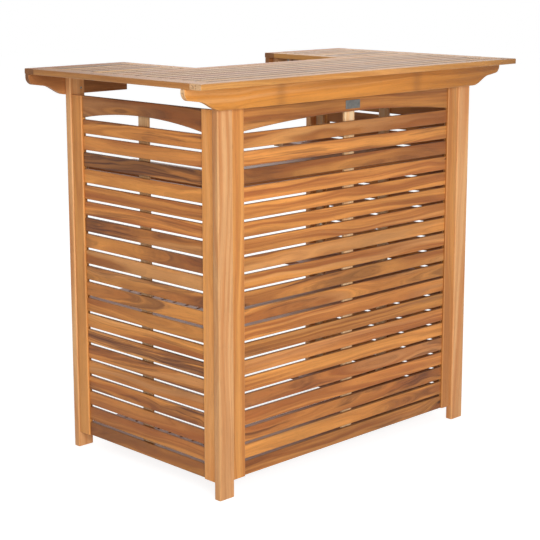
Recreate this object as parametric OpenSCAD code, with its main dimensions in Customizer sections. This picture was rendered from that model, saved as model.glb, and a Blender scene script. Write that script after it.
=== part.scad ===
// Patio bar table of oiled hardwood boards: a U-shaped slatted top on four board posts, slatted
// panels with an arched head at the front and both sides, three U-shaped slatted shelves inside,
// and an open back for whoever serves.
// X runs along the front, Y from the front to the back and Z up. The origin is on the floor,
// below the middle of the top's outline.

/* [Overall] */
// Width of the top, end to end
top_w = 1220; // [1120:5:1400]
// Depth of the top, front edge to back edge
top_d = 698; // [640:2:760]
// Height of the top's upper face above the floor
height = 1067; // [1000:1:1120]

/* [Top] */
// Thickness of the top's boards
top_t = 15; // [12:0.5:20]
// Depth of the top's front part, from the front edge to the notch
front_part_d = 392; // [340:2:420]
// Width of each wing beside the notch
wing_w = 332; // [300:1:380]
// Width of the front, middle and back rails
top_rail_w = 40; // [32:1:50]
// Width of the stiles at the top's ends
top_stile_w = 55; // [40:1:70]
// Width of the stiles beside the notch
top_inner_w = 40; // [32:1:50]
// Number of long slats in the front part
top_long_n = 7; // [6:1:8]
// Number of short slats in each wing
top_wing_n = 6; // [5:1:7]
// Gap between the top's slats
top_gap = 5; // [3:0.5:8]
// Radius of the eased edges on the boards of the top and the shelves
board_edge_r = 2.5; // [1:0.5:4]

/* [Slat tongues] */
// Length of the tongue on a slat's end
tongue_l = 9; // [6:1:12]
// Thickness of the tongue
tongue_t = 5; // [4:0.5:6]
// Clearance around the tongue in its groove
tongue_fit = 0.3; // [0.2:0.1:0.6]
// Hairline left where one board of the top or a shelf butts another
butt_gap = 0.2; // [0.1:0.1:0.4]

/* [Posts] */
// Width of a post's front face
post_w = 50; // [44:1:60]
// Thickness of a post, front to back
post_t = 22; // [20:1:30]
// Radius of a post's rounded corners
post_edge_r = 4; // [2:0.5:6]
// How far the top's ends reach past the posts
side_overhang = 117.5; // [90:0.5:130]
// How far the top's front edge reaches past the apron
front_overhang = 58; // [40:1:75]
// How far the top's back edge reaches past the brackets
back_overhang = 2; // [0:1:20]

/* [Apron and brackets] */
// Thickness of the apron
apron_t = 15; // [12:1:20]
// Depth of the apron below the top
apron_h = 59; // [50:1:70]
// Thickness of the back brackets
bracket_t = 15; // [12:1:20]
// Depth of the brackets below the top
bracket_h = 61; // [50:1:70]
// Depth of a scroll at its very end
scroll_end_h = 8; // [4:1:12]
// Length of a scroll's rounded nose
nose_l = 18; // [12:1:24]
// Depth of a scroll where the nose ends
nose_h = 29; // [24:1:34]
// Length from the end to where a scroll starts to drop
neck_l = 45; // [36:1:60]
// Depth of a scroll where it starts to drop
neck_h = 33; // [30:1:38]
// Length of a whole scroll
scroll_l = 120; // [100:1:140]

/* [Panels] */
// Height of the panels' lower edge above the floor
panel_z = 43.5; // [30:0.5:60]
// Open height between the panels' upper edge and the top
panel_top_gap = 60; // [50:1:80]
// Width of a panel's stiles
stile_w = 42; // [36:1:50]
// Thickness of a panel's stiles
stile_t = 15; // [13:0.5:18]
// How far the stiles' faces lie behind the posts' faces
stile_recess = 3.5; // [1:0.5:5]
// Thickness of the slats and rails between the stiles
slat_t = 10.5; // [9:0.5:12]
// Number of slats between the bottom rail and the arched rail
slat_n = 19; // [16:1:20]
// Gap between slats
slat_gap = 6.6; // [5:0.1:9]
// Radius of the eased edges on slats and stiles
slat_edge_r = 3; // [1:0.5:4]
// Depth of the arched rail where it meets the stiles
arch_end_h = 59; // [50:1:68]
// Rise of the arch at mid-span
arch_rise = 21; // [12:1:28]
// Gap between the uppermost slat and the arch's springing
arch_gap = 4.5; // [3:0.5:8]

/* [Cleats behind the panels] */
// Width of a panel's middle cleat
cleat_w = 38; // [32:1:50]
// Width of the cleat behind each stile
end_cleat_w = 30; // [26:1:34]
// Gap between the cleat behind a stile and the panel's end
end_cleat_gap = 1.5; // [1:0.5:4]
// Thickness of a cleat
cleat_t = 8; // [7:0.5:12]
// How far the cleats stop short of the panel's upper and lower edges
cleat_inset = 5; // [2:1:10]

/* [Shelves] */
// Thickness of the shelves' boards
shelf_t = 15; // [12:0.5:18]
// Height of the lowest shelf's underside above the floor
shelf_z = 51; // [49:0.5:60]
// Distance from one shelf to the next
shelf_pitch = 366; // [340:1:380]
// Depth of a shelf's front part
shelf_front_d = 226; // [210:1:250]
// Width of a shelf's front, middle and back rails
shelf_rail_w = 40; // [32:1:46]
// Width of a shelf's stiles
shelf_stile_w = 30; // [28:1:36]
// Number of long slats in a shelf's front part
shelf_long_n = 3; // [2:1:4]
// Number of short slats in each return of a shelf
shelf_wing_n = 6; // [5:1:7]
// Gap between a shelf's slats
shelf_gap = 6.5; // [4:0.5:9]
// Clearance between a shelf and the cleats around it
shelf_fit = 0.3; // [0.1:0.1:0.6]

/* [Battens and blocks under the top] */
// Width of a batten under the long slats
batten_w = 40; // [30:1:50]
// Thickness of a batten
batten_t = 18; // [15:1:22]
// Distance of each batten from the middle of the top
batten_x = 180; // [150:5:220]
// Length of a fixing block
block_l = 60; // [50:1:70]
// Width and height of a fixing block
block_s = 20; // [18:1:24]
// Distance of the outer apron blocks from the middle
apron_block_x = 300; // [270:5:340]
// Distance of each bracket block from the wing's inner edge
bracket_block_in = 50; // [40:1:80]

/* [Name plate] */
// Length of the bare metal plate on the front arched rail
plate_w = 56; // [40:1:70]
// Height of the plate
plate_h = 23; // [16:1:28]
// Thickness of the plate
plate_t = 1.2; // [0.8:0.1:2]
// Distance of each pin from the plate's end
pin_inset = 4; // [3:0.5:8]
// Radius of a pin's shank
pin_r = 0.9; // [0.6:0.1:1.2]
// Radius of a pin's head
pin_head_r = 1.7; // [1.5:0.1:2.2]
// Height of a pin's head
pin_head_h = 0.7; // [0.4:0.1:1.2]
// Length of a pin's shank
pin_l = 6; // [4:0.5:8]

/* [Dowels] */
// Radius of the dowels between panels, posts and shelves
dowel_r = 4; // [3:0.5:4.5]
// Radius of the dowels that join the boards of a frame
frame_dowel_r = 3; // [2:0.5:3.5]
// Depth of a dowel in each board of a frame, and in a shelf's edge
dowel_depth = 12; // [8:1:12]
// Depth of a panel dowel in the post
dowel_post_depth = 12; // [8:1:14]
// Depth of a shelf dowel in the cleat
dowel_cleat_depth = 5; // [4:0.5:6]
// Distance of the outer panel dowels from the panel's upper and lower edges
dowel_end = 70; // [65:1:90]
// Clearance between a dowel and its hole
dowel_fit = 0.1; // [0.05:0.05:0.2]

/* [Screws] */
// Radius of a screw's head
screw_head_r = 3.6; // [3:0.1:4]
// Height of a screw's countersunk head
screw_head_h = 2.4; // [2:0.1:3]
// Radius of a screw's shank
screw_r = 1.8; // [1.4:0.1:2.2]
// Wood left in front of a screw's point
screw_stop = 4; // [3:0.5:6]
// Clearance between a screw and its hole
screw_fit = 0.15; // [0.1:0.05:0.3]

/* [Hidden] */
$fn = 32;

// Colours of the boards, the shaded inner cleats and the metal
amber = [0.72, 0.44, 0.20];
honey = [0.80, 0.53, 0.27];
russet = [0.60, 0.34, 0.15];
pale = [0.86, 0.68, 0.44];
steel = [0.66, 0.66, 0.64];

// A hole is cut this far past the face that it starts from
past = 1;
// Smooth enough for the flat arch of the rails
arch_fn = 720;

// Planes of the top and the posts
x_end = top_w / 2;
y_end = top_d / 2;
under = height - top_t;
post_x1 = x_end - side_overhang;
post_x0 = post_x1 - post_w;
front_y0 = -y_end + front_overhang + apron_t;
front_y1 = front_y0 + post_t;
back_y1 = y_end - back_overhang - bracket_t;
back_y0 = back_y1 - post_t;
notch_x = x_end - wing_w;
notch_y = -y_end + front_part_d;

// Heights and lengths of the panels
panel_top = under - panel_top_gap;
spring_z = panel_top - arch_end_h;
slat_pitch = (spring_z - arch_gap - panel_z + slat_gap) / (slat_n + 1);
slat_h = slat_pitch - slat_gap;
front_l = 2 * post_x0;
side_l = back_y0 - front_y1;
panel_back = stile_t + cleat_t;

// Outline of the shelves, inside the cleats
shelf_x = post_x1 - stile_recess - panel_back - shelf_fit;
shelf_y0 = front_y0 + stile_recess + panel_back + shelf_fit;
shelf_y1 = back_y0 - shelf_fit;
shelf_notch_y = shelf_y0 + shelf_front_d;

// A U-shaped frame is a list: its outer edge and its notch's edge in X, its front, notch and
// back edges in Y, its underside, its thickness, and the widths of rails, stiles and inner stiles
top_u = [x_end, notch_x, -y_end, notch_y, y_end, under, top_t,
    top_rail_w, top_stile_w, top_inner_w];
function shelf_u(level) = [shelf_x, notch_x, shelf_y0, shelf_notch_y, shelf_y1,
    shelf_z + level * shelf_pitch, shelf_t, shelf_rail_w, shelf_stile_w, shelf_stile_w];
function u_x1(u) = u[0];
function u_x0(u) = u[1];
function u_y0(u) = u[2];
function u_ym(u) = u[3];
function u_y1(u) = u[4];
function u_z(u) = u[5];
function u_t(u) = u[6];
function u_rail(u) = u[7];
function u_stile(u) = u[8];
function u_inner(u) = u[9];

// A rectangle with rounded corners
module eased_rect(w, h, r) {
    translate([r, 0]) square([w - 2 * r, h]);
    translate([0, r]) square([w, h - 2 * r]);
    for (x = [r, w - r], y = [r, h - r]) translate([x, y]) circle(r);
}

// A board between two corners, with its long edges eased; along names the axis of its length
module board(lo, hi, along, r) {
    s = hi - lo;
    if (along == "x") translate(lo) rotate([90, 0, 90]) linear_extrude(s.x) eased_rect(s.y, s.z, r);
    if (along == "y") translate([lo.x, hi.y, lo.z]) rotate([90, 0, 0]) linear_extrude(s.y)
        eased_rect(s.x, s.z, r);
    if (along == "z") translate(lo) linear_extrude(s.z) eased_rect(s.x, s.y, r);
}

// A block between two corners
module block(lo, hi) {
    translate(lo) cube(hi - lo);
}

// A dowel from one point to another along an axis, or with grow above 0 the hole for it
module dowel(from, length, along, r, grow) {
    turn = along == "x" ? [0, 90, 0] : [-90, 0, 0];
    translate(from) rotate(turn) translate([0, 0, -grow]) cylinder(r = r + grow, h = length + 2 * grow);
}

// A countersunk screw whose head is flush at the origin and which points down
module screw(length) {
    rotate_extrude() polygon([[0, 0], [screw_head_r, 0], [screw_r, -screw_head_h],
        [screw_r, screw_r - length], [0, -length]]);
}

// The hole for a screw, cut past the face that the head lies in
module screw_hole(length) {
    r1 = screw_head_r + screw_fit;
    r2 = screw_r + screw_fit;
    end = length + screw_fit;
    rotate_extrude() polygon([[0, past], [r1, past], [r1, 0], [r2, -screw_head_h],
        [r2, r2 - end], [0, -end]]);
}

// A screw, or with hole set the hole for it
module screw_or_hole(length, hole) {
    if (hole) screw_hole(length);
    else screw(length);
}

// U-shaped frames of the top and the shelves

// The frame's joints on the left side, with two dowels in each that miss the slats' grooves
module u_left_dowels(u, grow) {
    mid_z = u_z(u) + u_t(u) / 2;
    stile_free = u_stile(u) - tongue_l - tongue_fit;
    inner_free = u_inner(u) - tongue_l - tongue_fit;
    length = 2 * dowel_depth;
    for (part = [1 / 4, 3 / 4]) {
        for (y = [u_y0(u) + u_rail(u), u_y1(u) - u_rail(u)])
            dowel([part * stile_free - u_x1(u), y - dowel_depth, mid_z], length, "y", frame_dowel_r, grow);
        for (y = [u_ym(u), u_y1(u) - u_rail(u)])
            dowel([-part * inner_free - u_x0(u), y - dowel_depth, mid_z], length, "y", frame_dowel_r, grow);
        dowel([u_stile(u) - u_x1(u) - dowel_depth, u_ym(u) - part * u_rail(u), mid_z], length, "x",
            frame_dowel_r, grow);
    }
}

module u_dowels(u, grow) {
    u_left_dowels(u, grow);
    mirror([1, 0, 0]) u_left_dowels(u, grow);
}

module u_front_rail(u) {
    difference() {
        board([-u_x1(u), u_y0(u), u_z(u)], [u_x1(u), u_y0(u) + u_rail(u), u_z(u) + u_t(u)], "x",
            board_edge_r);
        u_dowels(u, dowel_fit);
    }
}

module u_middle_rail(u) {
    end_x = u_x1(u) - u_stile(u) - butt_gap;
    difference() {
        board([-end_x, u_ym(u) - u_rail(u), u_z(u)], [end_x, u_ym(u), u_z(u) + u_t(u)], "x",
            board_edge_r);
        u_dowels(u, dowel_fit);
    }
}

module u_left_back_rail(u) {
    difference() {
        board([-u_x1(u), u_y1(u) - u_rail(u), u_z(u)], [-u_x0(u), u_y1(u), u_z(u) + u_t(u)], "x",
            board_edge_r);
        u_left_dowels(u, dowel_fit);
    }
}

// The groove for slat tongues, from x towards the side that deep points to
module u_groove(u, x, deep, y0, y1) {
    mid_z = u_z(u) + u_t(u) / 2;
    half = tongue_t / 2 + tongue_fit;
    depth = tongue_l + tongue_fit;
    x0 = deep < 0 ? x - depth : x - past;
    x1 = deep < 0 ? x + past : x + depth;
    block([x0, y0, mid_z - half], [x1, y1, mid_z + half]);
}

module u_left_stile(u) {
    inner_x = -u_x1(u) + u_stile(u);
    difference() {
        board([-u_x1(u), u_y0(u) + u_rail(u) + butt_gap, u_z(u)],
            [inner_x, u_y1(u) - u_rail(u) - butt_gap, u_z(u) + u_t(u)], "y", board_edge_r);
        u_left_dowels(u, dowel_fit);
        u_groove(u, inner_x, -1, u_y0(u) + u_rail(u), u_ym(u) - u_rail(u));
        u_groove(u, inner_x, -1, u_ym(u), u_y1(u) - u_rail(u));
    }
}

module u_left_inner_stile(u) {
    outer_x = -u_x0(u) - u_inner(u);
    difference() {
        board([outer_x, u_ym(u) + butt_gap, u_z(u)],
            [-u_x0(u), u_y1(u) - u_rail(u) - butt_gap, u_z(u) + u_t(u)], "y", board_edge_r);
        u_left_dowels(u, dowel_fit);
        u_groove(u, outer_x, 1, u_ym(u), u_y1(u) - u_rail(u));
    }
}

// Width of each of n slats that share a depth with gaps between them and at both ends
function row_w(depth, n, gap) = (depth - (n + 1) * gap) / n;

// Slats along X with a tongue at each end
module u_slats(u, x0, x1, y0, y1, n, gap) {
    w = row_w(y1 - y0, n, gap);
    mid_z = u_z(u) + u_t(u) / 2;
    for (i = [0 : n - 1]) {
        y = y0 + gap + i * (w + gap);
        board([x0 + butt_gap, y, u_z(u)], [x1 - butt_gap, y + w, u_z(u) + u_t(u)], "x",
            board_edge_r);
        block([x0 - tongue_l, y + board_edge_r, mid_z - tongue_t / 2],
            [x1 + tongue_l, y + w - board_edge_r, mid_z + tongue_t / 2]);
    }
}

module u_long_slats(u, n, gap) {
    end_x = u_x1(u) - u_stile(u);
    u_slats(u, -end_x, end_x, u_y0(u) + u_rail(u), u_ym(u) - u_rail(u), n, gap);
}

module u_left_slats(u, n, gap) {
    u_slats(u, -u_x1(u) + u_stile(u), -u_x0(u) - u_inner(u), u_ym(u), u_y1(u) - u_rail(u), n, gap);
}

// Panels: x runs along a panel from its left end as seen from outside, y inwards from the
// stiles' faces

module place_front() {
    translate([-post_x0, front_y0 + stile_recess, 0]) children();
}

module place_left() {
    translate([-post_x1 + stile_recess, back_y0, 0]) rotate([0, 0, -90]) children();
}

module place_right() {
    mirror([1, 0, 0]) place_left() children();
}

// Places on a panel where its screws and dowels go
end_dowel_x = (shelf_rail_w - dowel_depth) / 2;
stile_screw_x = end_cleat_gap + end_cleat_w * 3 / 4;
panel_mid_z = (panel_z + panel_top) / 2;
panel_dowel_zs = [panel_z + dowel_end, panel_mid_z, panel_top - dowel_end];
stile_screw_zs = [for (level = [0 : 2]) shelf_z + shelf_t / 2 + (level + 1 / 4) * shelf_pitch];
arch_mid_z = panel_top - (arch_end_h - arch_rise) / 2;
bottom_dowel_z = panel_z + slat_h / 4;
bottom_screw_z = panel_z + slat_h * 3 / 4;
slat_mid_y = stile_t - slat_t / 2;
groove_z0 = panel_z + slat_pitch;
groove_z1 = spring_z - arch_gap;

// Dowels from the panel's stiles into the posts
module post_dowels(l, grow) {
    for (z = panel_dowel_zs, x = [-dowel_post_depth, l - dowel_post_depth])
        dowel([x, stile_t / 2, z], 2 * dowel_post_depth, "x", dowel_r, grow);
}

// Dowels from the bottom rail and the arched rail into the stiles
module rail_joint_dowels(l, grow) {
    for (x = [stile_w, l - stile_w])
        for (z = [bottom_dowel_z, panel_top - arch_end_h / 4, panel_top - arch_end_h * 3 / 4])
            dowel([x - dowel_depth, slat_mid_y, z], 2 * dowel_depth, "x", frame_dowel_r, grow);
}

// Dowels from the cleats into the shelves' edges
module cleat_dowels(l, grow) {
    for (level = [0 : 2], x = [end_dowel_x, l / 2 + cleat_w / 4, l - end_dowel_x])
        dowel([x, panel_back - dowel_cleat_depth, shelf_z + level * shelf_pitch + shelf_t / 2],
            dowel_cleat_depth + shelf_fit + dowel_depth, "y", dowel_r, grow);
}

// Screws from the middle cleat into the bottom rail and the arched rail
module rail_screws(l, hole) {
    for (z = [bottom_screw_z, arch_mid_z])
        translate([l / 2 - cleat_w / 4, panel_back, z]) rotate([-90, 0, 0])
            screw_or_hole(cleat_t + slat_t - screw_stop, hole);
}

// Screws from the end cleats into the stiles
module stile_screws(l, hole) {
    for (x = [stile_screw_x, l - stile_screw_x], z = stile_screw_zs)
        translate([x, panel_back, z]) rotate([-90, 0, 0])
            screw_or_hole(cleat_t + stile_t - screw_stop, hole);
}

// The stile at a panel's left end, grooved for the tongues of the slats
module panel_stile(l) {
    half = tongue_t / 2 + tongue_fit;
    difference() {
        board([0, 0, panel_z], [stile_w, stile_t, panel_top], "z", slat_edge_r);
        block([stile_w - tongue_l - tongue_fit, slat_mid_y - half, groove_z0],
            [stile_w + past, slat_mid_y + half, groove_z1]);
        post_dowels(l, dowel_fit);
        rail_joint_dowels(l, dowel_fit);
        stile_screws(l, true);
    }
}

// The stile at a panel's right end
module panel_far_stile(l) {
    translate([l, 0, 0]) mirror([1, 0, 0]) panel_stile(l);
}

module panel_bottom_rail(l) {
    difference() {
        board([stile_w, stile_t - slat_t, panel_z], [l - stile_w, stile_t, panel_z + slat_h], "x",
            slat_edge_r);
        rail_joint_dowels(l, dowel_fit);
        rail_screws(l, true);
    }
}

// The head of a panel, with a shallow circular arch cut from its lower edge
module panel_arched_rail(l) {
    half = l / 2 - stile_w;
    arch_r = (half * half + arch_rise * arch_rise) / (2 * arch_rise);
    difference() {
        board([stile_w, stile_t - slat_t, spring_z], [l - stile_w, stile_t, panel_top], "x",
            slat_edge_r);
        translate([l / 2, stile_t + past, spring_z + arch_rise - arch_r]) rotate([90, 0, 0])
            cylinder(r = arch_r, h = slat_t + 2 * past, $fn = arch_fn);
        rail_joint_dowels(l, dowel_fit);
        rail_screws(l, true);
    }
}

module panel_slats(l) {
    for (row = [1 : slat_n]) {
        z = panel_z + row * slat_pitch;
        board([stile_w, stile_t - slat_t, z], [l - stile_w, stile_t, z + slat_h], "x", slat_edge_r);
        block([stile_w - tongue_l, slat_mid_y - tongue_t / 2, z + slat_edge_r],
            [l - stile_w + tongue_l, slat_mid_y + tongue_t / 2, z + slat_h - slat_edge_r]);
    }
}

module panel_cleats(l) {
    difference() {
        for (place = [[end_cleat_gap, end_cleat_w], [(l - cleat_w) / 2, cleat_w],
            [l - end_cleat_gap - end_cleat_w, end_cleat_w]])
            block([place.x, stile_t, panel_z + cleat_inset],
                [place.x + place.y, panel_back, panel_top - cleat_inset]);
        cleat_dowels(l, dowel_fit);
        rail_screws(l, true);
        stile_screws(l, true);
    }
}

// Posts, apron and brackets

// Screws from the inner side of the left posts into the apron and the bracket
module left_post_screws(hole) {
    x = -post_x0 - post_w / 4;
    for (z = [under - nose_h / 2, under - nose_h / 2 - nose_h]) {
        translate([x, front_y1, z]) rotate([-90, 0, 0])
            screw_or_hole(post_t + apron_t - screw_stop, hole);
        translate([x, back_y0, z]) rotate([90, 0, 0])
            screw_or_hole(post_t + bracket_t - screw_stop, hole);
    }
}

module left_post(y0, y1) {
    difference() {
        board([-post_x1, y0, 0], [-post_x0, y1, under], "z", post_edge_r);
        place_front() post_dowels(front_l, dowel_fit);
        place_left() post_dowels(side_l, dowel_fit);
        left_post_screws(true);
    }
}

// Depth of a scroll at a distance from its end: a quarter ellipse, a slope and a half cosine
scroll_steps = 8;
function scroll_depth(d, h) =
    d < nose_l ? scroll_end_h + (nose_h - scroll_end_h) * sqrt(1 - pow(1 - d / nose_l, 2)) :
    d < neck_l ? nose_h + (neck_h - nose_h) * (d - nose_l) / (neck_l - nose_l) :
    neck_h + (h - neck_h) * (1 - cos(180 * (d - neck_l) / (scroll_l - neck_l))) / 2;
function scroll_places() = concat(
    [for (i = [0 : scroll_steps]) nose_l * (1 - cos(90 * i / scroll_steps))],
    [for (i = [0 : scroll_steps]) neck_l + (scroll_l - neck_l) * i / scroll_steps]);
function left_scroll(x, h) = [for (d = scroll_places()) [x + d, -scroll_depth(d, h)]];
function right_scroll(x, h) = [for (i = [len(scroll_places()) - 1 : -1 : 0])
    let (d = scroll_places()[i]) [x - d, -scroll_depth(d, h)]];

module apron_blocks() {
    for (x = [-apron_block_x, 0, apron_block_x])
        block([x - block_l / 2, front_y0, under - block_s],
            [x + block_l / 2, front_y0 + block_s, under]);
}

module bracket_block_at(x) {
    block([x - block_l / 2, back_y1 - block_s, under - block_s], [x + block_l / 2, back_y1, under]);
}

bracket_block_x = notch_x + bracket_block_in;

// One screw up into the top and one sideways into the apron or bracket for each block
module block_screws(hole) {
    up_l = block_s + top_t - screw_stop;
    for (x = [-apron_block_x, 0, apron_block_x]) {
        translate([x - block_l / 4, front_y0 + block_s / 2, under - block_s]) rotate([180, 0, 0])
            screw_or_hole(up_l, hole);
        translate([x + block_l / 4, front_y0 + block_s, under - block_s / 2]) rotate([-90, 0, 0])
            screw_or_hole(block_s + apron_t - screw_stop, hole);
    }
    for (x = [-bracket_block_x, bracket_block_x]) {
        translate([x - block_l / 4, back_y1 - block_s / 2, under - block_s]) rotate([180, 0, 0])
            screw_or_hole(up_l, hole);
        translate([x + block_l / 4, back_y1 - block_s, under - block_s / 2]) rotate([90, 0, 0])
            screw_or_hole(block_s + bracket_t - screw_stop, hole);
    }
}

// One screw from each batten into each long slat and into the middle rail
module batten_screws(hole) {
    zone_y0 = -y_end + top_rail_w;
    w = row_w(notch_y - top_rail_w - zone_y0, top_long_n, top_gap);
    slat_ys = [for (i = [0 : top_long_n - 1]) zone_y0 + top_gap + i * (w + top_gap) + w / 2];
    for (x = [-batten_x, batten_x], y = concat(slat_ys, [notch_y - top_rail_w / 2]))
        if (y > front_y0 + 2 * screw_head_r)
            translate([x, y, under - batten_t]) rotate([180, 0, 0])
                screw_or_hole(batten_t + top_t - screw_stop, hole);
}

// Pins through the ends of the name plate
plate_y = front_y0 + stile_recess + stile_t - slat_t;
module pins(grow) {
    for (x = [pin_inset - plate_w / 2, plate_w / 2 - pin_inset])
        translate([x, plate_y - plate_t, arch_mid_z]) rotate([-90, 0, 0])
            cylinder(r = pin_r + grow, h = pin_l + grow);
}

// Sub-parts

module front_left_post() {
    color(honey) left_post(front_y0, front_y1);
}

module front_right_post() {
    color(honey) mirror([1, 0, 0]) left_post(front_y0, front_y1);
}

module back_left_post() {
    color(honey) left_post(back_y0, back_y1);
}

module back_right_post() {
    color(honey) mirror([1, 0, 0]) left_post(back_y0, back_y1);
}

module front_apron() {
    color(amber) difference() {
        translate([0, front_y0, under]) rotate([90, 0, 0]) linear_extrude(apron_t)
            polygon(concat([[x_end, 0], [-x_end, 0]], left_scroll(-x_end, apron_h),
                right_scroll(x_end, apron_h)));
        left_post_screws(true);
        mirror([1, 0, 0]) left_post_screws(true);
        block_screws(true);
    }
}

// The left bracket as drawn, before its holes
module bracket_board() {
    translate([0, back_y1 + bracket_t, under]) rotate([90, 0, 0]) linear_extrude(bracket_t)
        polygon(concat([[-notch_x, 0], [-x_end, 0]], left_scroll(-x_end, bracket_h),
            [[-notch_x, -bracket_h]]));
}

module left_bracket() {
    color(amber) difference() {
        bracket_board();
        left_post_screws(true);
        block_screws(true);
    }
}

module right_bracket() {
    color(amber) difference() {
        mirror([1, 0, 0]) bracket_board();
        mirror([1, 0, 0]) left_post_screws(true);
        block_screws(true);
    }
}

module front_left_stile() {
    color(honey) place_front() panel_stile(front_l);
}

module front_right_stile() {
    color(honey) place_front() panel_far_stile(front_l);
}

// The front arched rail is also drilled for the name plate's pins
module front_arched_rail() {
    color(russet) difference() {
        place_front() panel_arched_rail(front_l);
        pins(dowel_fit);
    }
}

module front_bottom_rail() {
    color(amber) place_front() panel_bottom_rail(front_l);
}

module front_slats() {
    color(amber) place_front() panel_slats(front_l);
}

module front_cleats() {
    color(pale) place_front() panel_cleats(front_l);
}

module left_front_stile() {
    color(honey) place_left() panel_far_stile(side_l);
}

module left_back_stile() {
    color(honey) place_left() panel_stile(side_l);
}

module left_arched_rail() {
    color(russet) place_left() panel_arched_rail(side_l);
}

module left_bottom_rail() {
    color(amber) place_left() panel_bottom_rail(side_l);
}

module left_slats() {
    color(amber) place_left() panel_slats(side_l);
}

module left_cleats() {
    color(pale) place_left() panel_cleats(side_l);
}

module right_front_stile() {
    color(honey) place_right() panel_far_stile(side_l);
}

module right_back_stile() {
    color(honey) place_right() panel_stile(side_l);
}

module right_arched_rail() {
    color(russet) place_right() panel_arched_rail(side_l);
}

module right_bottom_rail() {
    color(amber) place_right() panel_bottom_rail(side_l);
}

module right_slats() {
    color(amber) place_right() panel_slats(side_l);
}

module right_cleats() {
    color(pale) place_right() panel_cleats(side_l);
}

module top_front_rail() {
    color(amber) difference() {
        u_front_rail(top_u);
        block_screws(true);
    }
}

module top_middle_rail() {
    color(amber) difference() {
        u_middle_rail(top_u);
        batten_screws(true);
    }
}

module top_left_stile() {
    color(honey) u_left_stile(top_u);
}

module top_right_stile() {
    color(honey) mirror([1, 0, 0]) u_left_stile(top_u);
}

module top_left_back_rail() {
    color(amber) difference() {
        u_left_back_rail(top_u);
        block_screws(true);
    }
}

module top_right_back_rail() {
    color(amber) difference() {
        mirror([1, 0, 0]) u_left_back_rail(top_u);
        block_screws(true);
    }
}

module top_left_inner_stile() {
    color(honey) u_left_inner_stile(top_u);
}

module top_right_inner_stile() {
    color(honey) mirror([1, 0, 0]) u_left_inner_stile(top_u);
}

module top_long_slats() {
    color(russet) difference() {
        u_long_slats(top_u, top_long_n, top_gap);
        batten_screws(true);
        block_screws(true);
    }
}

module top_left_slats() {
    color(russet) difference() {
        u_left_slats(top_u, top_wing_n, top_gap);
        block_screws(true);
    }
}

module top_right_slats() {
    color(russet) difference() {
        mirror([1, 0, 0]) u_left_slats(top_u, top_wing_n, top_gap);
        block_screws(true);
    }
}

module top_battens() {
    color(pale) difference() {
        for (x = [-batten_x, batten_x])
            block([x - batten_w / 2, front_y0, under - batten_t], [x + batten_w / 2, notch_y, under]);
        batten_screws(true);
    }
}

module top_blocks() {
    color(pale) difference() {
        union() {
            apron_blocks();
            for (x = [-bracket_block_x, bracket_block_x]) bracket_block_at(x);
        }
        block_screws(true);
    }
}

// The eight boards of a shelf's frame, drilled for the dowels from the cleats
module shelf_frame(level) {
    u = shelf_u(level);
    color(amber) difference() {
        union() {
            u_front_rail(u);
            u_middle_rail(u);
            u_left_stile(u);
            u_left_back_rail(u);
            u_left_inner_stile(u);
            mirror([1, 0, 0]) {
                u_left_stile(u);
                u_left_back_rail(u);
                u_left_inner_stile(u);
            }
        }
        place_front() cleat_dowels(front_l, dowel_fit);
        place_left() cleat_dowels(side_l, dowel_fit);
        place_right() cleat_dowels(side_l, dowel_fit);
    }
}

module shelf_long_slats(level) {
    color(honey) u_long_slats(shelf_u(level), shelf_long_n, shelf_gap);
}

module shelf_left_slats(level) {
    color(honey) u_left_slats(shelf_u(level), shelf_wing_n, shelf_gap);
}

module shelf_right_slats(level) {
    color(honey) mirror([1, 0, 0]) u_left_slats(shelf_u(level), shelf_wing_n, shelf_gap);
}

module name_plate() {
    color(steel) difference() {
        translate([-plate_w / 2, plate_y, arch_mid_z - plate_h / 2]) rotate([90, 0, 0])
            linear_extrude(plate_t) eased_rect(plate_w, plate_h, plate_t);
        pins(dowel_fit);
    }
}

module plate_pins() {
    color(steel) {
        pins(0);
        for (x = [pin_inset - plate_w / 2, plate_w / 2 - pin_inset])
            translate([x, plate_y - plate_t, arch_mid_z]) rotate([90, 0, 0])
                cylinder(r1 = pin_head_r, r2 = pin_r, h = pin_head_h);
    }
}

module frame_dowels() {
    color(pale) {
        u_dowels(top_u, 0);
        for (level = [0 : 2]) u_dowels(shelf_u(level), 0);
    }
}

module panel_dowels() {
    color(pale) {
        place_front() post_dowels(front_l, 0);
        place_left() post_dowels(side_l, 0);
        place_right() post_dowels(side_l, 0);
    }
}

module rail_dowels() {
    color(pale) {
        place_front() rail_joint_dowels(front_l, 0);
        place_left() rail_joint_dowels(side_l, 0);
        place_right() rail_joint_dowels(side_l, 0);
    }
}

module shelf_dowels() {
    color(pale) {
        place_front() cleat_dowels(front_l, 0);
        place_left() cleat_dowels(side_l, 0);
        place_right() cleat_dowels(side_l, 0);
    }
}

// Screws of one panel's cleats
module panel_screws(l) {
    rail_screws(l, false);
    stile_screws(l, false);
}

module cleat_screws() {
    color(steel) {
        place_front() panel_screws(front_l);
        place_left() panel_screws(side_l);
        place_right() panel_screws(side_l);
    }
}

module post_screws() {
    color(steel) {
        left_post_screws(false);
        mirror([1, 0, 0]) left_post_screws(false);
    }
}

module top_screws() {
    color(steel) {
        block_screws(false);
        batten_screws(false);
    }
}

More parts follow.
